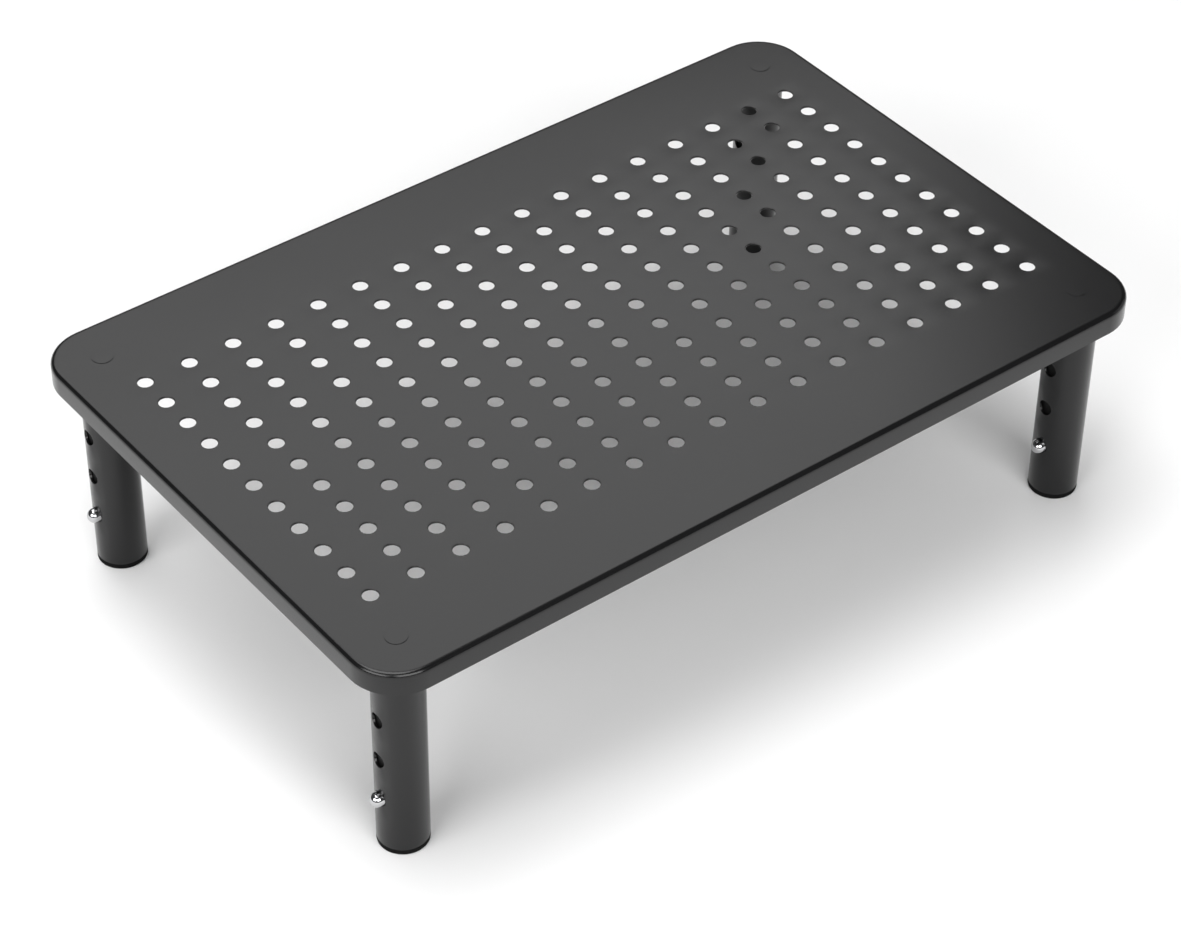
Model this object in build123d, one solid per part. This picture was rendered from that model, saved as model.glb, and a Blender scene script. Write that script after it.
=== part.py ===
"""Monitor riser stand: a perforated steel platform on four telescopic legs.

The origin is on the floor, under the middle of the platform. +Z is up, +X runs along the long side,
and the front is at -Y. Sizes are in millimetres. The legs are modelled fully in, at the lowest height.
"""

import math
import os

from build123d import *

# Platform: one drawn sheet-steel pan, open underneath
platform_length = 370.0
platform_width = 236.0
overall_height = 102.0  # floor to the platform's face, with the legs fully in
sheet_thickness = 1.0
skirt_height = 10.0
corner_radius = 20.0
bend_radius = 2.0  # outside radius between the face and the skirt

# Vent holes: a rectangular grid, as many as the plain border leaves room for
vent_diameter = 6.4
vent_pitch_x = 20.0
vent_pitch_y = 15.0
vent_border_x = 22.0  # least distance from a short edge to a hole's centre
vent_border_y = 40.0  # least distance from a long edge, which keeps the holes clear of the legs

# Legs: an outer tube that slides on an inner post
leg_inset = 20.0  # from each edge of the platform to the leg's axis
leg_diameter = 20.3
leg_wall = 1.2
post_wall = 1.2
slide_clearance = 0.25  # radial, between post and leg
leg_top_gap = 0.3  # between the raised leg and the platform's underside
post_foot_gap = 3.0  # between the post's end and the foot's plug
edge_rounding = 0.3  # on the leg's and the post's cut ends

# Height settings
setting_count = 3
setting_pitch = 20.0
button_height = 26.0  # floor to the button's axis
setting_hole_diameter = 6.6

# Snap button: a dome-ended pin with a flange inside the post
button_clearance = 0.2  # radial, in the holes
button_proud = 3.8  # how far the dome stands out of the leg
flange_diameter = 8.6
flange_thickness = 0.8
seat_gap = 0.1  # between the pieces that the spring holds against the post's wall
rivet_diameter = 2.5
rivet_clearance = 0.05  # radial, in the clip
rivet_head_diameter = 4.0
rivet_head_thickness = 0.5

# Spring clip: a hairpin of spring steel
clip_thickness = 0.5
clip_width = 7.0
clip_flat = 7.0  # straight length of each arm, above and below the button's axis
clip_rise = 31.0  # from the button's axis to the hairpin's bend
clip_bend_radius = 1.4
clip_tip_lead = 1.2  # how far the free tip turns in from the wall

# Mounting stud: its head is pressed into the platform's face and stands a little proud of it
stud_diameter = 6.0
stud_head_diameter = 8.6
stud_head_sunk = 0.6  # below the platform's face
stud_head_proud = 0.2  # above the platform's face
stud_length = 15.0  # below the head
stud_clearance = 0.05  # radial, in the platform and in the plug
stud_tip_chamfer = 0.8

# Threaded plug in the post's top
plug_height = 16.0
plug_press_clearance = 0.02
plug_mouth_chamfer = 0.6

# Rubber foot: a flange under the tube and a plug inside it
foot_flange_height = 2.5
foot_plug_height = 7.5
foot_plug_clearance = 0.02
foot_edge_rounding = 0.8
foot_hollow_diameter = 11.0
foot_hollow_depth = 6.0

# Worked out from the values above
platform_underside = overall_height - sheet_thickness
leg_radius = leg_diameter / 2
leg_bore_radius = leg_radius - leg_wall
post_radius = leg_bore_radius - slide_clearance
post_bore_radius = post_radius - post_wall
leg_top = platform_underside - leg_top_gap
post_bottom = foot_flange_height + foot_plug_height + post_foot_gap
pin_radius = setting_hole_diameter / 2 - button_clearance
dome_tip = leg_radius + button_proud
dome_centre = dome_tip - pin_radius
flange_front = math.sqrt(post_bore_radius**2 - (flange_diameter / 2) ** 2) - seat_gap
flange_back = flange_front - flange_thickness
leg_x = platform_length / 2 - leg_inset
leg_y = platform_width / 2 - leg_inset

corners = {
    "front_left": (-leg_x, -leg_y),
    "front_right": (leg_x, -leg_y),
    "rear_left": (-leg_x, leg_y),
    "rear_right": (leg_x, leg_y),
}


def cylinder(radius, bottom, top):
    """An upright cylinder on the Z axis."""
    return Pos(0, 0, bottom) * extrude(Circle(radius), top - bottom)


def tube(outer_radius, inner_radius, bottom, top):
    """An upright tube on the Z axis, with the outer edges of its ends rounded."""
    walls = cylinder(outer_radius, bottom, top) - cylinder(inner_radius, bottom, top)
    rims = walls.edges().filter_by(GeomType.CIRCLE).filter_by(lambda edge: edge.radius > inner_radius)
    return fillet(rims, edge_rounding)


def side_hole(height):
    """The cutter for one round hole through the -X side of a tube."""
    return Pos(0, 0, height) * Rot(0, -90, 0) * cylinder(setting_hole_diameter / 2, 0, leg_diameter)


def rounded_block(length, width, height, radius, top_rounding):
    """A block with rounded upright corners and a rounded top edge."""
    block = extrude(RectangleRounded(length, width, radius), height)
    return fillet(block.faces().sort_by(Axis.Z)[-1].edges(), top_rounding)


def vent_count(size, border, pitch):
    """How many holes fit in a row between the borders."""
    return int((size - 2 * border) / pitch) + 1


def platform():
    """The pan, its vent holes and the stepped holes that the studs sit in."""
    outside = rounded_block(platform_length, platform_width, skirt_height, corner_radius, bend_radius)
    hollow = rounded_block(
        platform_length - 2 * sheet_thickness,
        platform_width - 2 * sheet_thickness,
        skirt_height - sheet_thickness,
        corner_radius - sheet_thickness,
        bend_radius - sheet_thickness,
    )
    pan = Pos(0, 0, overall_height - skirt_height) * (outside - hollow)
    columns = vent_count(platform_length, vent_border_x, vent_pitch_x)
    rows = vent_count(platform_width, vent_border_y, vent_pitch_y)
    vents = Sketch() + GridLocations(vent_pitch_x, vent_pitch_y, columns, rows) * Circle(vent_diameter / 2)
    pan -= Pos(0, 0, overall_height - skirt_height) * extrude(vents, skirt_height)
    head_seat = overall_height - stud_head_sunk
    recess = cylinder(stud_head_diameter / 2 + stud_clearance, head_seat, overall_height)
    shank_hole = cylinder(stud_diameter / 2 + stud_clearance, platform_underside, head_seat)
    for x, y in corners.values():
        pan -= Pos(x, y, 0) * (recess + shank_hole)
    return pan


def mounting_stud():
    """The stud whose head shows on the platform and whose shank holds the leg."""
    head_seat = overall_height - stud_head_sunk
    shank = cylinder(stud_diameter / 2, head_seat - stud_length, head_seat)
    shank = chamfer(shank.edges().sort_by(Axis.Z)[0], stud_tip_chamfer)
    return shank + cylinder(stud_head_diameter / 2, head_seat, overall_height + stud_head_proud)


def threaded_plug():
    """The tapped steel plug in the top of the inner post, level with the post's end."""
    plug = cylinder(
        post_bore_radius - plug_press_clearance, platform_underside - plug_height, platform_underside
    )
    plug = chamfer(plug.edges().sort_by(Axis.Z)[0], plug_mouth_chamfer)
    tapped_hole = cylinder(
        stud_diameter / 2 + stud_clearance, platform_underside - plug_height, platform_underside
    )
    return plug - tapped_hole


def inner_post():
    """The fixed tube, with one hole for the button."""
    return tube(post_radius, post_bore_radius, post_bottom, platform_underside) - side_hole(button_height)


def outer_leg():
    """The sliding tube, with one hole for each height setting."""
    leg = tube(leg_radius, leg_bore_radius, foot_flange_height, leg_top)
    for setting in range(setting_count):
        leg -= side_hole(button_height + setting * setting_pitch)
    return leg


def snap_button():
    """The button: dome, pin, flange, and the rivet that holds it on the clip's front arm."""
    arm_back = flange_back - clip_thickness
    rivet_seat = arm_back - seat_gap / 2
    pin = cylinder(pin_radius, flange_front, dome_centre) + Pos(0, 0, dome_centre) * Sphere(pin_radius)
    flange = cylinder(flange_diameter / 2, flange_back, flange_front)
    rivet = cylinder(rivet_diameter / 2, rivet_seat, flange_back)
    rivet_head = cylinder(rivet_head_diameter / 2, rivet_seat - rivet_head_thickness, rivet_seat)
    return Pos(0, 0, button_height) * Rot(0, -90, 0) * (pin + flange + rivet + rivet_head)


def spring_clip():
    """The hairpin: a front arm behind the button, and a back arm on the far wall of the post."""
    front = -flange_back + clip_thickness / 2
    back = math.sqrt(post_bore_radius**2 - (clip_width / 2) ** 2) - seat_gap - clip_thickness / 2
    middle = FilletPolyline(
        (front, -clip_flat),
        (front, clip_flat),
        (-clip_bend_radius - clip_thickness, clip_rise),
        (clip_bend_radius + clip_thickness, clip_rise),
        (back, clip_flat),
        (back - clip_tip_lead, -clip_flat),
        radius=clip_bend_radius,
    )
    strip = make_face(offset(middle, clip_thickness / 2, side=Side.BOTH, kind=Kind.ARC))
    hairpin = extrude(Plane.XZ * strip, clip_width / 2, both=True)
    rivet_hole = Rot(0, -90, 0) * cylinder(rivet_diameter / 2 + rivet_clearance, 0, leg_radius)
    return Pos(0, 0, button_height) * (hairpin - rivet_hole)


def rubber_foot():
    """The foot: a flange that the tube stands on, and a hollow plug pushed into the tube."""
    flange = cylinder(leg_radius, 0, foot_flange_height)
    flange = fillet(flange.edges().sort_by(Axis.Z)[0], foot_edge_rounding)
    plug_top = foot_flange_height + foot_plug_height
    plug = cylinder(leg_bore_radius - foot_plug_clearance, foot_flange_height, plug_top)
    return flange + plug - cylinder(foot_hollow_diameter / 2, plug_top - foot_hollow_depth, plug_top)


leg_pieces = {
    "mounting_stud": mounting_stud(),
    "threaded_plug": threaded_plug(),
    "inner_post": inner_post(),
    "spring_clip": spring_clip(),
    "snap_button": snap_button(),
    "outer_leg": outer_leg(),
    "rubber_foot": rubber_foot(),
}

os.makedirs("parts", exist_ok=True)
export_step(platform(), "parts/platform.step")
for piece_name, piece in leg_pieces.items():
    for corner_name, (corner_x, corner_y) in corners.items():
        export_step(Pos(corner_x, corner_y, 0) * piece, f"parts/{piece_name}_{corner_name}.step")
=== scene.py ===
# %% [markdown]
# # A perforated monitor riser
#
# A monitor riser is a small steel table that stands on a desk. Its platform is one sheet of steel,
# pressed into a shallow pan and punched with vent holes. It stands on four tube legs that slide on
# inner posts, and a sprung chrome button in each leg sets the height.
#
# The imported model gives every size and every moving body. This lesson builds finer meshes around
# it: sheet metal with true punched holes and softened rims, rolled and drilled tubes, and turned
# buttons.

# %% Load the frame
import math

import bmesh
import bpy
from mathutils import Matrix, Vector


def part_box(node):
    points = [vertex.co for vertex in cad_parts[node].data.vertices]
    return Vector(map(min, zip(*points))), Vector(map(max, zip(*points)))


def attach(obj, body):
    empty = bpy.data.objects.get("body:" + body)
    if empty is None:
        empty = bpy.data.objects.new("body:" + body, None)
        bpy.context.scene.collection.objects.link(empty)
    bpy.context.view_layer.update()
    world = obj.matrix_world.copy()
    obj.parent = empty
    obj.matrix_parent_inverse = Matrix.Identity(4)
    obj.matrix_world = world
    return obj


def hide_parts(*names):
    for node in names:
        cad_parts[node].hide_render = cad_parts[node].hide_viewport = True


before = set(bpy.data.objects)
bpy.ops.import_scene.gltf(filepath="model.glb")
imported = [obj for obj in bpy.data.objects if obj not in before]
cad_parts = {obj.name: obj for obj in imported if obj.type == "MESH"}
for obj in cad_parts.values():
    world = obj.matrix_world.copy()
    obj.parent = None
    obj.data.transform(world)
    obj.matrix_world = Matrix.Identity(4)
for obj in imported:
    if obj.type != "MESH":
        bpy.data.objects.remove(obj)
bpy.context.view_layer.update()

# %% [markdown]
# ## Sizes
#
# Places come from the frame's boxes, so a leg here always stands where the leg of the model stands.
# Sizes that a box can't tell, such as the sheet's thickness or a hole's diameter, are named once
# here, in metres.

# %% Sizes read from the frame, and sizes of the details
MM = 0.001

platform_low, platform_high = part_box("platform")
platform_length, platform_width, skirt_height = platform_high - platform_low
platform_face = platform_high.z
sheet_thickness = 1.0 * MM
sheet_rim = 0.25 * MM  # rounding of a punched or cut edge
corner_radius = 20.0 * MM
bend_radius = 2.0 * MM

vent_columns, vent_rows = 17, 11
vent_pitch_x, vent_pitch_y = 20.0 * MM, 15.0 * MM
vent_radius = 3.2 * MM
VENT_SIDES = 16

leg_wall = 1.2 * MM
post_wall = 1.2 * MM
tube_rim = 0.2 * MM  # rounding of a tube's ends and holes
setting_hole_radius = 3.3 * MM
setting_pitch = 20.0 * MM

corners = ("front_left", "front_right", "rear_left", "rear_right")


def leg_axis(corner):
    """The middle of a leg, on the floor."""
    low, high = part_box(f"outer_leg_{corner}")
    return Vector(((low.x + high.x) / 2, (low.y + high.y) / 2, 0.0))


front_left_axis = leg_axis("front_left")
leg_low, leg_high = (edge - front_left_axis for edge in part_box("outer_leg_front_left"))
post_low, post_high = (edge - front_left_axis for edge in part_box("inner_post_front_left"))
_, foot_high = (edge - front_left_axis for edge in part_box("rubber_foot_front_left"))
button_low, button_high = (edge - front_left_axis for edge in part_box("snap_button_front_left"))
stud_low, stud_high = (edge - front_left_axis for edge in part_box("mounting_stud_front_left"))
plug_low, plug_high = (edge - front_left_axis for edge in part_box("threaded_plug_front_left"))
leg_radius = leg_high.x
button_height = (button_low.z + button_high.z) / 2
print("leg radius", round(leg_radius / MM, 2), "mm; button", round(button_height / MM, 1), "mm up")

# %% [markdown]
# ## Camera
#
# The stand is seen from its front left corner, from well above, with a long lens that keeps the
# edges nearly parallel. The camera is placed by angles round a point on the platform: how far
# round, how high and how far away.

# %% Camera
camera_azimuth = math.radians(38.15)  # from +Y towards +X
camera_elevation = math.radians(40.75)
camera_roll = math.radians(0.7)
camera_distance = 1.3
camera_target = Vector((-0.0543, -0.0667, platform_face))

camera_data = bpy.data.cameras.new("camera")
camera_data.sensor_width = 36.0
camera_data.lens = 106.4
camera = bpy.data.objects.new("camera", camera_data)
bpy.context.scene.collection.objects.link(camera)
bpy.context.scene.camera = camera
sight = Vector((
    math.sin(camera_azimuth) * math.cos(camera_elevation),
    math.cos(camera_azimuth) * math.cos(camera_elevation),
    -math.sin(camera_elevation),
))
aim = sight.to_track_quat("-Z", "Y").to_matrix().to_4x4()
place = Matrix.Translation(camera_target - sight * camera_distance)
camera.matrix_world = place @ aim @ Matrix.Rotation(camera_roll, 4, "Z")
print("camera at", [round(value, 3) for value in camera.matrix_world.translation])

# %% [markdown]
# ## Shader expressions
#
# A material is easier to read as a formula than as a wall of node calls. `Wire` wraps one output
# socket, and its operators add Math nodes. `Finish` starts a material, and its method `node` makes
# every other node.

# %% The Wire and Finish classes
class Wire:
    """One output socket of a material. Arithmetic on it adds Math nodes."""

    def __init__(self, finish, socket):
        self.finish = finish
        self.socket = socket

    def math(self, operation, first, second):
        return self.finish.node("ShaderNodeMath", {"operation": operation}, {0: first, 1: second})

    def __add__(self, other):
        return self.math("ADD", self, other)

    def __radd__(self, other):
        return self.math("ADD", other, self)

    def __rmul__(self, other):
        return self.math("MULTIPLY", other, self)


class Finish:
    """A material whose surface is one Principled shader."""

    def __init__(self, name, color, roughness, metallic=0.0, **fixed):
        self.material = bpy.data.materials.new(name)
        self.material.use_nodes = True
        self.tree = self.material.node_tree
        self.shader = self.tree.nodes["Principled BSDF"]
        constants = {"Base Color": (*color, 1.0), "Roughness": roughness, "Metallic": metallic}
        constants.update({key.replace("_", " "): value for key, value in fixed.items()})
        for name_of_socket, value in constants.items():
            self.shader.inputs[name_of_socket].default_value = value
        self.material.diffuse_color = (*color, 1.0)

    def node(self, kind, settings=None, sockets=None, output=0):
        """Adds a node, sets it up, fills or links its sockets, and returns one of its outputs."""
        made = self.tree.nodes.new(kind)
        for key, value in (settings or {}).items():
            setattr(made, key, value)
        for key, value in (sockets or {}).items():
            if isinstance(value, Wire):
                self.tree.links.new(value.socket, made.inputs[key])
            else:
                made.inputs[key].default_value = value
        return Wire(self, made.outputs[output])

    def drive(self, name_of_socket, wire):
        """Feeds one of the shader's sockets."""
        self.tree.links.new(wire.socket, self.shader.inputs[name_of_socket])

    def place(self):
        """The surface point in the object's own metres."""
        return self.node("ShaderNodeTexCoord", output="Object")

    def noise(self, size, detail):
        """Soft noise whose lumps are about this size, in metres."""
        sockets = {"Vector": self.place(), "Scale": 1.0 / size, "Detail": detail}
        return self.node("ShaderNodeTexNoise", {}, sockets)

    def tint(self, dark, light, mask):
        """A colour between two, by a mask."""
        settings = {"data_type": "RGBA"}
        sockets = {0: mask, 6: (*dark, 1.0), 7: (*light, 1.0)}
        return self.node("ShaderNodeMix", settings, sockets, output=2)

    def bump(self, height, depth, strength):
        """Feeds the shader's Normal from a height of 0 to 1, this deep in metres."""
        sockets = {"Height": height, "Distance": depth, "Strength": strength}
        self.drive("Normal", self.node("ShaderNodeBump", {}, sockets))


# %% [markdown]
# ## Powder coat
#
# The steel is coated with a dark powder that melts into a satin skin. Close up it has a very fine
# orange peel, finer than a millimetre, and over the width of a hand the sheen drifts a little. The
# colour is almost black: what looks grey is a pale panel or the floor, mirrored softly. So the base
# colour stays dark, a low roughness keeps the mirrored edges fairly firm, and a lower specular
# level sets how bright they are.

# %% Powder coat
def powder_coat():
    coat = Finish("satin_powder_coat", (0.005, 0.005, 0.0053), 0.2, Specular_IOR_Level=0.38)
    drift = coat.noise(60 * MM, detail=3.0)
    speckle = coat.noise(0.35 * MM, detail=1.0)
    peel = coat.noise(0.9 * MM, detail=2.0)
    coat.drive("Base Color", coat.tint((0.004, 0.004, 0.0042), (0.006, 0.006, 0.0063), drift))
    coat.drive("Roughness", 0.17 + 0.05 * drift + 0.03 * speckle)
    coat.bump(0.7 * peel + 0.3 * speckle, 0.02 * MM, strength=0.5)
    return coat.material


def matt_coat():
    """The posts: painted shade. Their coat is darker and more matt than the sheet, so a setting
    hole shows black.
    """
    coat = Finish("painted_shade_post_coat", (0.003, 0.003, 0.003), 0.7, Specular_IOR_Level=0.15)
    speckle = coat.noise(0.5 * MM, detail=2.0)
    coat.drive("Roughness", 0.62 + 0.14 * speckle)
    coat.bump(speckle, 0.02 * MM, strength=0.5)
    return coat.material


satin_powder_coat = powder_coat()
# The posts' coat is painted shade: darker and more matt, so a post seen through a setting hole
# shows as black.
painted_shade_post_coat = matt_coat()
print("made", satin_powder_coat.name, "and", painted_shade_post_coat.name)

# %% [markdown]
# ## Bright and dark metal, and rubber
#
# The buttons are nickel-chrome plated. Thumbs polish the dome and leave faint smears, which is a
# slow change of roughness. The clip is blued spring steel with the fine lines of rolled strip, the
# plug is zinc plated, and the feet are black moulded rubber.

# %% Button, spring, plug and foot finishes
def button_chrome():
    plate = Finish("button_chrome", (0.52, 0.52, 0.53), 0.08, metallic=1.0)
    smear = plate.noise(1.6 * MM, detail=3.0)
    plate.drive("Roughness", 0.03 + 0.1 * smear)
    return plate.material


def spring_steel():
    strip = Finish("blued_spring_steel", (0.16, 0.17, 0.2), 0.35, metallic=1.0)
    line_scale = (4000.0, 4000.0, 90.0)  # fine across the strip, long along it
    stretched = strip.node("ShaderNodeMapping", {}, {"Vector": strip.place(), "Scale": line_scale})
    lines = strip.node("ShaderNodeTexNoise", {}, {"Vector": stretched, "Scale": 1.0, "Detail": 2.0})
    strip.drive("Roughness", 0.26 + 0.2 * lines)
    strip.drive("Base Color", strip.tint((0.12, 0.13, 0.16), (0.22, 0.23, 0.26), lines))
    return strip.material


def zinc_plate():
    plate = Finish("zinc_plate", (0.55, 0.56, 0.58), 0.35, metallic=1.0)
    bloom = plate.noise(2.5 * MM, detail=4.0)
    plate.drive("Roughness", 0.25 + 0.25 * bloom)
    plate.drive("Base Color", plate.tint((0.45, 0.46, 0.48), (0.66, 0.67, 0.68), bloom))
    return plate.material


def foot_rubber():
    rubber = Finish("foot_rubber", (0.003, 0.003, 0.003), 0.8, Specular_IOR_Level=0.1)
    grain = rubber.noise(0.4 * MM, detail=3.0)
    dust = rubber.noise(7 * MM, detail=3.0)
    rubber.drive("Base Color", rubber.tint((0.002, 0.002, 0.002), (0.005, 0.005, 0.005), dust))
    rubber.drive("Roughness", 0.7 + 0.18 * grain)
    rubber.bump(grain, 0.03 * MM, strength=0.6)
    return rubber.material


finishes = {
    "button_chrome": button_chrome(),
    "spring_steel": spring_steel(),
    "zinc_steel": zinc_plate(),
    "foot_rubber": foot_rubber(),
}
print("made", sorted(finishes))

# %% [markdown]
# ## From a bmesh to a finished piece
#
# Every piece ends the same way. Its doubles are merged and its normals turned outwards. Modifiers
# then give a sheet its thickness and soften its cut edges, and a weighted normal keeps a flat
# looking flat next to a small bend.

# %% Finishing a piece
RIM_ANGLE = math.radians(50)
MERGE_DISTANCE = 0.01 * MM


def finish_piece(mesh, name, body, material, replaced, wall=0.0, softening=0.0, rim_steps=2):
    """Makes the object, gives it its wall and soft rims, and ties it to the frame."""
    bmesh.ops.remove_doubles(mesh, verts=mesh.verts, dist=MERGE_DISTANCE)
    bmesh.ops.recalc_face_normals(mesh, faces=mesh.faces)
    data = bpy.data.meshes.new(name)
    mesh.to_mesh(data)
    mesh.free()
    data.polygons.foreach_set("use_smooth", [True] * len(data.polygons))
    data.materials.append(material)
    piece = bpy.data.objects.new(name, data)
    bpy.context.scene.collection.objects.link(piece)
    if wall:
        solid = piece.modifiers.new("wall", "SOLIDIFY")
        solid.thickness = wall
        solid.offset = -1.0
        solid.use_even_offset = True
    if softening:
        rim = piece.modifiers.new("soft_rims", "BEVEL")
        rim.width = softening
        rim.segments = rim_steps
        rim.limit_method = "ANGLE"
        rim.angle_limit = RIM_ANGLE
        rim.use_clamp_overlap = True
    weighted = piece.modifiers.new("flat_flats", "WEIGHTED_NORMAL")
    weighted.keep_sharp = False
    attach(piece, body)
    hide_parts(*replaced)
    return piece


# %% [markdown]
# ## Punching a hole
#
# A punched sheet repeats one small tile: a rectangle with a round hole. The tile is two loops of
# edges, the border and the hole, joined by `bridge_loops`. Laid edge to edge and merged, the tiles
# make clean sheet with no boolean cuts, and each hole costs only one ring of faces. A vent has few
# sides, because there are nearly two hundred. The rim is marked as a seam, so that a hole's edge
# can be told from the sheet's border.

# %% A tile with a hole
def tile(mesh, width, height, hole_radius, sides):
    """One rectangle with a round hole, centred on the origin. Returns its vertices."""
    steps = sides // 4
    grid = bmesh.ops.create_grid(mesh, x_segments=steps, y_segments=steps, size=0.5)["verts"]
    bmesh.ops.scale(mesh, vec=(width, height, 1.0), verts=grid)
    border = [vert for vert in grid if vert.is_boundary]
    inside = [vert for vert in grid if not vert.is_boundary]
    bmesh.ops.delete(mesh, geom=inside, context="VERTS")
    circle = bmesh.ops.create_circle(mesh, segments=sides, radius=hole_radius, cap_ends=False)
    hole = circle["verts"]
    for edge in {edge for vert in hole for edge in vert.link_edges}:
        edge.seam = True
    loops = list({edge for vert in border + hole for edge in vert.link_edges})
    bmesh.ops.bridge_loops(mesh, edges=loops)
    return border + hole


def repeat(mesh, verts, offsets):
    """Copies the faces of these vertices to each offset, and removes the first ones."""
    faces = list({face for vert in verts for face in vert.link_faces})
    edges = list({edge for face in faces for edge in face.edges})
    for offset in offsets:
        copied = bmesh.ops.duplicate(mesh, geom=verts + edges + faces)["geom"]
        moved = [item for item in copied if isinstance(item, bmesh.types.BMVert)]
        bmesh.ops.translate(mesh, vec=offset, verts=moved)
    bmesh.ops.delete(mesh, geom=verts, context="VERTS")


# %% [markdown]
# ## The platform
#
# The pan is drawn from one sheet. Its face is flat and its edge turns down over a 2 mm bend into a
# skirt that runs unbroken round the corners. The face is filled first, between its outline and the
# block of tiles. Then the outline is drawn outwards and down, ring by ring, like the sheet in the
# press. Every point of a ring is the same distance from a plain rectangle inside it, which is what
# keeps the corners round.

# %% The pan
CORNER_STEPS = 12
BEND_STEPS = 8
HOLDING_BAND = 0.5 * MM  # a narrow ring beside a bend, which keeps its shading off the flat

corner_centre_x = platform_length / 2 - corner_radius
corner_centre_y = platform_width / 2 - corner_radius


def first_ring(mesh):
    """The rounded outline, as a loop of edges."""
    verts = bmesh.ops.create_grid(mesh, x_segments=1, y_segments=1, size=0.5)["verts"]
    bmesh.ops.scale(mesh, vec=(platform_length, platform_width, 1.0), verts=verts)
    rounded = bmesh.ops.bevel(
        mesh, geom=verts, offset=corner_radius, offset_type="OFFSET", segments=CORNER_STEPS,
        profile=0.5, affect="VERTICES", material=-1,
    )["verts"]
    faces = list({face for vert in rounded for face in vert.link_faces})
    bmesh.ops.delete(mesh, geom=faces, context="FACES_ONLY")
    return list({edge for vert in rounded for edge in vert.link_edges})


def place_ring(ring, margin, height):
    """Moves a ring to this far inside the platform's edge, at this height."""
    for vert in {vert for edge in ring for vert in edge.verts}:
        inner_x = max(-corner_centre_x, min(corner_centre_x, vert.co.x))
        inner_y = max(-corner_centre_y, min(corner_centre_y, vert.co.y))
        outward = Vector((vert.co.x - inner_x, vert.co.y - inner_y, 0.0)).normalized()
        vert.co = Vector((inner_x, inner_y, height)) + outward * (corner_radius - margin)


def draw_ring(mesh, ring, margin, height):
    """Extrudes a ring and moves the new one. Returns it."""
    extruded = bmesh.ops.extrude_edge_only(mesh, edges=ring)["geom"]
    drawn = [item for item in extruded if isinstance(item, bmesh.types.BMEdge)]
    place_ring(drawn, margin, height)
    return drawn


def punched_flat(mesh):
    """The vent holes, in tiles. Returns the edges round the tiles."""
    vent = tile(mesh, vent_pitch_x, vent_pitch_y, vent_radius, VENT_SIDES)
    first_x = -(vent_columns - 1) / 2 * vent_pitch_x
    first_y = -(vent_rows - 1) / 2 * vent_pitch_y
    grid = [
        (first_x + column * vent_pitch_x, first_y + row * vent_pitch_y, 0.0)
        for column in range(vent_columns)
        for row in range(vent_rows)
    ]
    repeat(mesh, vent, grid)
    bmesh.ops.remove_doubles(mesh, verts=mesh.verts, dist=MERGE_DISTANCE)
    bmesh.ops.translate(mesh, vec=(0.0, 0.0, platform_face), verts=mesh.verts)
    return [edge for edge in mesh.edges if edge.is_boundary and not edge.seam]


def platform_pan():
    mesh = bmesh.new()
    tile_borders = punched_flat(mesh)
    ring = first_ring(mesh)
    place_ring(ring, bend_radius + HOLDING_BAND, platform_face)
    # The fill needs sizes near one.
    bmesh.ops.scale(mesh, vec=(1 / MM, 1 / MM, 1 / MM), verts=mesh.verts)
    bmesh.ops.triangle_fill(mesh, use_beauty=True, use_dissolve=False, edges=tile_borders + ring)
    bmesh.ops.scale(mesh, vec=(MM, MM, MM), verts=mesh.verts)
    for step in range(BEND_STEPS + 1):
        turn = math.pi / 2 * step / BEND_STEPS
        drop = bend_radius * (1 - math.cos(turn))
        ring = draw_ring(mesh, ring, bend_radius * (1 - math.sin(turn)), platform_face - drop)
    ring = draw_ring(mesh, ring, 0.0, platform_face - bend_radius - HOLDING_BAND)
    draw_ring(mesh, ring, 0.0, platform_face - skirt_height)
    return finish_piece(
        mesh, "platform_pan", "platform", satin_powder_coat, ["platform"],
        wall=sheet_thickness, softening=sheet_rim, rim_steps=1,
    )


platform = platform_pan()
print("platform:", len(platform.data.polygons), "faces before its wall is added")

# %% [markdown]
# ## Rolled and drilled tubes
#
# A leg is a drawn tube with three drilled holes in one line. The mesh is made the way a tube mill
# works: a flat strip, as long as the tube and as wide as its circumference, has its holes made
# while it is flat. Then it is rolled round, and its wall grows inwards. The inner post is the same
# with one hole.

# %% Tubes
TUBE_SIDES = 48
DRILLED_SIDES = 32
TILE_COLUMNS = DRILLED_SIDES // 4
END_ROWS = 2  # of faces, between the drilled length and each end


def plain_patch(mesh, columns, rows, start, width, bottom, top):
    """A grid on the flat strip, from start along the strip's width and from bottom to top."""
    verts = bmesh.ops.create_grid(mesh, x_segments=columns, y_segments=rows, size=0.5)["verts"]
    bmesh.ops.scale(mesh, vec=(width, top - bottom, 1.0), verts=verts)
    bmesh.ops.translate(mesh, vec=(start + width / 2, (bottom + top) / 2, 0.0), verts=verts)


def drilled_strip(mesh, radius, bottom, top, hole_heights):
    """The flat strip of a tube, with its holes in the middle of the width."""
    column = 2 * math.pi * radius / TUBE_SIDES
    tile_width = TILE_COLUMNS * column
    holes = tile(mesh, tile_width, setting_pitch, setting_hole_radius, DRILLED_SIDES)
    repeat(mesh, holes, [(0.0, height, 0.0) for height in hole_heights])
    drilled_bottom = hole_heights[0] - setting_pitch / 2
    drilled_top = hole_heights[-1] + setting_pitch / 2
    plain_columns = TUBE_SIDES - TILE_COLUMNS
    plain_width = plain_columns * column
    rows = TILE_COLUMNS * len(hole_heights)
    start = tile_width / 2
    plain_patch(mesh, plain_columns, rows, start, plain_width, drilled_bottom, drilled_top)
    for low, high in ((bottom, drilled_bottom), (drilled_top, top)):
        plain_patch(mesh, TUBE_SIDES, END_ROWS, -start, TUBE_SIDES * column, low, high)


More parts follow.
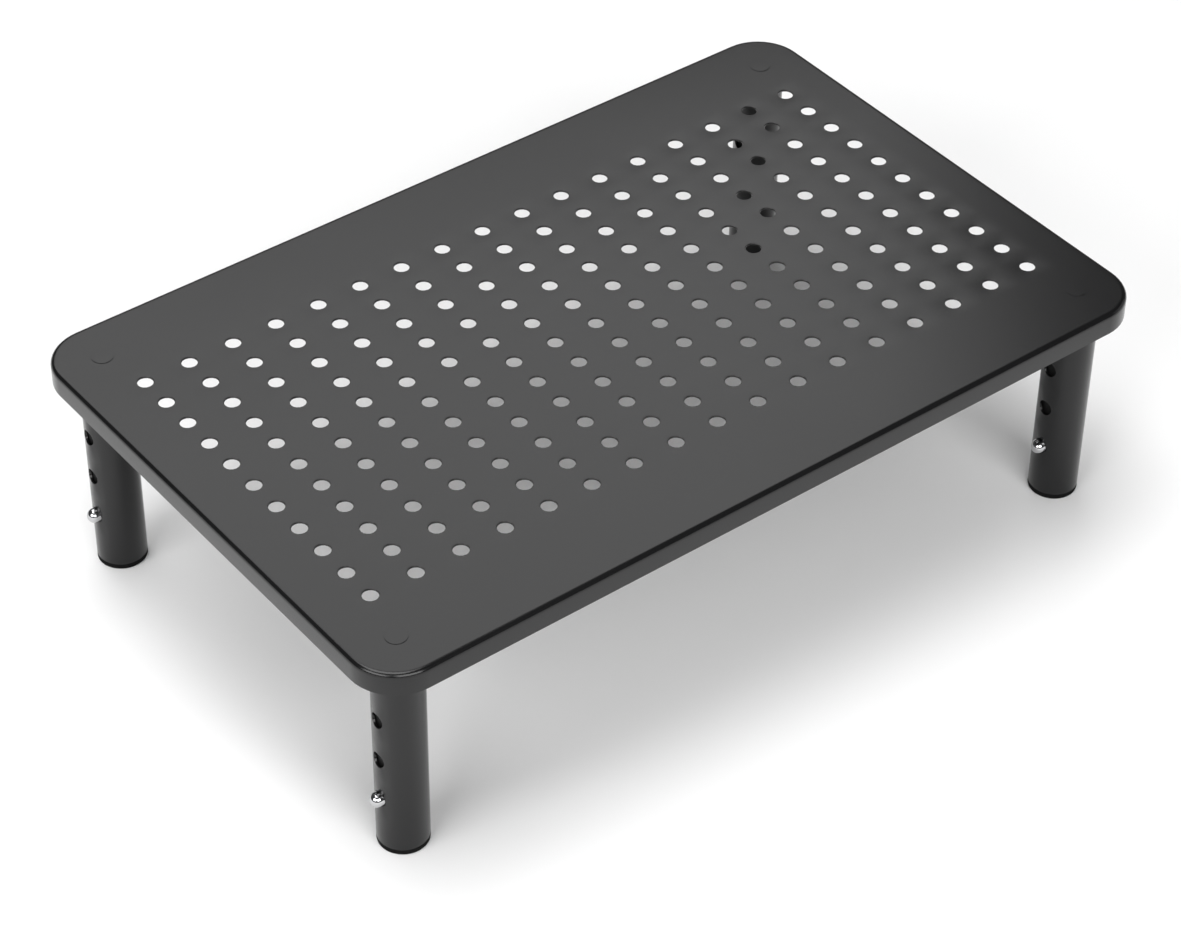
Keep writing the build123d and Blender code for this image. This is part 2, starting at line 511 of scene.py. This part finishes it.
def roll(mesh, radius):
    """Rolls the flat strip into a tube round the Z axis, with its holes facing -X."""
    for vert in mesh.verts:
        turn = vert.co.x / radius
        vert.co = (-radius * math.cos(turn), -radius * math.sin(turn), vert.co.y)


def drilled_tube(name, corner, body, low, high, hole_count, wall, material):
    mesh = bmesh.new()
    heights = [button_height + number * setting_pitch for number in range(hole_count)]
    drilled_strip(mesh, high.x, low.z, high.z, heights)
    roll(mesh, high.x)
    bmesh.ops.translate(mesh, vec=leg_axis(corner), verts=mesh.verts)
    return finish_piece(
        mesh, f"{name}_tube_{corner}", f"{body}{corner}" if body else "platform",
        material, [f"{name}_{corner}"], wall=wall, softening=tube_rim,
    )


for corner in corners:
    leg = drilled_tube(
        "outer_leg", corner, "leg_", leg_low, leg_high, 3, leg_wall, satin_powder_coat
    )
    # The posts take the painted-shade coat, which keeps the setting holes black.
    post = drilled_tube("inner_post", corner, "", post_low, post_high, 1, post_wall, painted_shade_post_coat)
print("each leg:", len(leg.data.polygons), "faces; each post:", len(post.data.polygons))

# %% [markdown]
# ## Turned pieces
#
# The buttons, studs, plugs and feet are round, so they are turned. A lathe needs only a profile: a
# line of points, each a radius, a height and how much that corner is rounded. A vertex bevel rounds
# the corners of the line, and `spin` turns it once round.

# %% The lathe
TURNED_SIDES = 48
DOME_ROUNDING = 1.0 * MM  # a rounding above this is a dome
DOME_STEPS = 12
EDGE_STEPS = 3


def turned(profile, closed=False):
    """A turned shape round the Z axis, from (radius, height, rounding) corners."""
    mesh = bmesh.new()
    verts = [mesh.verts.new((radius, 0.0, height)) for radius, height, _ in profile]
    ends = zip(verts, verts[1:] + verts[:1]) if closed else zip(verts, verts[1:])
    for pair in ends:
        mesh.edges.new(pair)
    for vert, (_, _, rounding) in zip(verts, profile):
        if rounding:
            bmesh.ops.bevel(
                mesh, geom=[vert], offset=rounding, offset_type="OFFSET",
                segments=DOME_STEPS if rounding > DOME_ROUNDING else EDGE_STEPS,
                profile=0.5, affect="VERTICES", material=-1,
            )
    bmesh.ops.spin(
        mesh, geom=mesh.verts[:] + mesh.edges[:], cent=(0, 0, 0), axis=(0, 0, 1), dvec=(0, 0, 0),
        angle=2 * math.pi, steps=TURNED_SIDES, use_merge=True, use_duplicate=False,
    )
    return mesh


def turned_at_corners(name, suffix, body, material, profile, turn=None, closed=False):
    """One turned piece at each leg."""
    for corner in corners:
        mesh = turned(profile, closed)
        if turn:
            bmesh.ops.transform(mesh, matrix=turn, verts=mesh.verts)
        bmesh.ops.translate(mesh, vec=leg_axis(corner), verts=mesh.verts)
        rides = f"{body}{corner}" if body else "platform"
        piece = finish_piece(
            mesh, f"{name}_{suffix}_{corner}", rides, material, [f"{name}_{corner}"]
        )
    print(name, len(piece.data.polygons), "faces each")


# %% [markdown]
# ## The snap button
#
# The button is what the user presses: a polished dome on a short pin. Behind the post's wall a
# flange stops it from coming out, and a rivet holds it on the spring. The dome is a true half ball,
# so it slides itself in when the hole's edge pushes it.

# %% Button, from its dome to its rivet
button_tip = -button_low.x
button_tail = -button_high.x
pin_radius = 3.1 * MM
dome_radius = 0.999 * pin_radius  # a hair less, to keep the bevel's ends off their neighbours
flange_radius = button_high.y
flange_thickness = 0.8 * MM
flange_edge = 0.15 * MM
rivet_radius = 1.25 * MM
rivet_head_radius = 2.0 * MM
rivet_head_thickness = 0.5 * MM
rivet_head_edge = 0.3 * MM
clip_thickness = 0.5 * MM
seat_gap = 0.05 * MM
rivet_seat = button_tail + rivet_head_thickness
flange_back = rivet_seat + seat_gap + clip_thickness
flange_front = flange_back + flange_thickness

button_profile = (
    (0.0, button_tip, 0.0),
    (pin_radius, button_tip, dome_radius),
    (pin_radius, flange_front, 0.0),
    (flange_radius, flange_front, flange_edge),
    (flange_radius, flange_back, flange_edge),
    (rivet_radius, flange_back, 0.0),
    (rivet_radius, rivet_seat, 0.0),
    (rivet_head_radius, rivet_seat, 0.0),
    (rivet_head_radius, button_tail, rivet_head_edge),
    (0.0, button_tail, 0.0),
)
lay_down = Matrix.Translation((0, 0, button_height)) @ Matrix.Rotation(-math.pi / 2, 4, "Y")
turned_at_corners(
    "snap_button", "dome", "button_", finishes["button_chrome"], button_profile,
    lay_down,
)

# %% [markdown]
# ## Mounting stud and plug
#
# Each leg hangs on one stud. Its head is pressed into the sheet, coated with it, and stands a fifth
# of a millimetre proud. All that shows is a thin dark crescent, where the near side of the head's
# edge mirrors the black sheet. Below, the stud screws into a plug in the top of the post.

# %% Stud and plug
stud_radius = 3.0 * MM
stud_tip_chamfer = 0.8 * MM
stud_head_sunk = 0.6 * MM  # below the platform's face
stud_head_edge = 0.06 * MM
stud_profile = (
    (0.0, stud_low.z, 0.0),
    (stud_radius - stud_tip_chamfer, stud_low.z, 0.0),
    (stud_radius, stud_low.z + stud_tip_chamfer, 0.0),
    (stud_radius, platform_face - stud_head_sunk, 0.0),
    (stud_high.x, platform_face - stud_head_sunk, 0.0),
    (stud_high.x, stud_high.z, stud_head_edge),
    (0.0, stud_high.z, 0.0),
)
turned_at_corners("mounting_stud", "turned", "", satin_powder_coat, stud_profile)

thread_gap = 0.05 * MM
plug_bore = stud_radius + thread_gap
plug_bore_mouth = 0.3 * MM
plug_lead_in = 0.6 * MM
plug_top_edge = 0.1 * MM
plug_profile = (
    (plug_bore, plug_low.z, plug_bore_mouth),
    (plug_high.x, plug_low.z, plug_lead_in),
    (plug_high.x, plug_high.z, plug_top_edge),
    (plug_bore, plug_high.z, plug_top_edge),
)
turned_at_corners(
    "threaded_plug", "turned", "", finishes["zinc_steel"], plug_profile, closed=True
)

# %% [markdown]
# ## Rubber foot
#
# The tube stands on the foot's flange, which shows as a thin black line at the floor. Underneath, a
# shallow hollow leaves a ring that grips the desk. The plug inside the tube is hollow, so that it
# can squeeze in.

# %% Foot
foot_flange_height = leg_low.z
foot_plug_gap = 0.02 * MM
foot_plug_radius = leg_radius - leg_wall - foot_plug_gap
foot_sole_edge = 0.8 * MM
foot_plug_edge = 0.4 * MM
hollow_edge = 0.3 * MM
thin_edge = 0.2 * MM
sole_hollow_height = 0.7 * MM
sole_hollow_radius = 5.0 * MM
sole_ring_radius = 5.6 * MM
plug_hollow_radius = 5.5 * MM
plug_hollow_depth = 6.0 * MM
plug_hollow_floor = foot_high.z - plug_hollow_depth
foot_profile = (
    (0.0, sole_hollow_height, 0.0),
    (sole_hollow_radius, sole_hollow_height, hollow_edge),
    (sole_ring_radius, 0.0, thin_edge),
    (leg_radius, 0.0, foot_sole_edge),
    (leg_radius, foot_flange_height, thin_edge),
    (foot_plug_radius, foot_flange_height, 0.0),
    (foot_plug_radius, foot_high.z, foot_plug_edge),
    (plug_hollow_radius, foot_high.z, hollow_edge),
    (plug_hollow_radius, plug_hollow_floor, hollow_edge),
    (0.0, plug_hollow_floor, 0.0),
)
turned_at_corners(
    "rubber_foot", "turned", "leg_", finishes["foot_rubber"], foot_profile
)

# %% [markdown]
# ## Spring clip
#
# The clip is a folded strip inside the post, out of sight unless the post is looked into from
# below. The model's own piece already has its folds and its rivet hole, so it keeps its shape and
# only gets its finish.

# %% Clip finish
for corner in corners:
    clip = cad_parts[f"spring_clip_{corner}"]
    clip.data.materials.clear()
    clip.data.materials.append(finishes["spring_steel"])
print("finished", len(corners), "clips")

# %% [markdown]
# ## Studio
#
# The floor is white. When a leg is drawn out, the platform stays and the foot goes down, so the
# floor is laid in quarters that each follow one leg, and every foot always stands on it. Black
# satin steel is lit by what it mirrors. A large panel high above the back left lights the floor and
# drops a soft shadow to the front right. A pale wall half-way up at the back gives the platform's
# face its grey. The left and front panels whiten the floor that the skirt and the legs mirror, and
# a weak one at the right lights the legs' other side. The room is left almost dark, and the bend
# along the front mirrors that as a thin black line.

# %% Floor
FLOOR_REACH = 7.0  # of one quarter, along each side
FLOOR_DEPTH = 0.06  # more than a leg's travel, so that no gap opens beside a lowered quarter


def floor_quarter(corner, material):
    """A quarter of the floor, which goes down with the leg that stands on it."""
    axis = leg_axis(corner)
    half = FLOOR_REACH / 2
    middle = (math.copysign(half, axis.x), math.copysign(half, axis.y), -FLOOR_DEPTH / 2)
    mesh = bmesh.new()
    bmesh.ops.create_cube(mesh, size=1.0)
    bmesh.ops.scale(mesh, vec=(FLOOR_REACH, FLOOR_REACH, FLOOR_DEPTH), verts=mesh.verts)
    bmesh.ops.translate(mesh, vec=middle, verts=mesh.verts)
    data = bpy.data.meshes.new(f"floor_{corner}")
    mesh.to_mesh(data)
    mesh.free()
    data.materials.append(material)
    quarter = bpy.data.objects.new(f"floor_{corner}", data)
    bpy.context.scene.collection.objects.link(quarter)
    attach(quarter, f"leg_{corner}")


white_paper = Finish("white_paper", (0.86, 0.86, 0.86), 0.85, Specular_IOR_Level=0.2).material
for corner in corners:
    floor_quarter(corner, white_paper)
print("floor laid in", len(corners), "quarters")

# %% Lights and room
def softbox(name, azimuth, elevation, distance, width, height, watts):
    """A rectangular light that faces the stand, placed by compass angle from +Y towards +X."""
    data = bpy.data.lights.new(name, "AREA")
    data.shape = "RECTANGLE"
    data.size = width
    data.size_y = height
    data.energy = watts
    lamp = bpy.data.objects.new(name, data)
    bpy.context.scene.collection.objects.link(lamp)
    turn, rise = math.radians(azimuth), math.radians(elevation)
    level = math.cos(rise)
    outward = Vector((math.sin(turn) * level, math.cos(turn) * level, math.sin(rise)))
    lamp.location = outward * distance
    lamp.rotation_euler = (-outward).to_track_quat("-Z", "Y").to_euler()
    lamp.visible_camera = False


softbox("key_panel", azimuth=-45, elevation=80, distance=2.2, width=1.5, height=1.5, watts=33)
softbox("left_panel", azimuth=-104, elevation=31, distance=2.3, width=1.6, height=1.1, watts=30)
softbox("front_panel", azimuth=-165, elevation=33, distance=2.4, width=1.8, height=1.2, watts=38)
softbox("back_wall", azimuth=19, elevation=47.5, distance=2.6, width=2.3, height=1.1, watts=16.5)
softbox("right_panel", azimuth=112, elevation=16, distance=2.5, width=1.6, height=1.1, watts=3.5)

ROOM_GLOW = 0.08
world = bpy.data.worlds.new("studio_room")
bpy.context.scene.world = world
world.use_nodes = True
world.node_tree.nodes["Background"].inputs["Color"].default_value = (1.0, 1.0, 1.0, 1.0)
world.node_tree.nodes["Background"].inputs["Strength"].default_value = ROOM_GLOW
bpy.context.scene.view_settings.view_transform = "Standard"
print("studio ready")
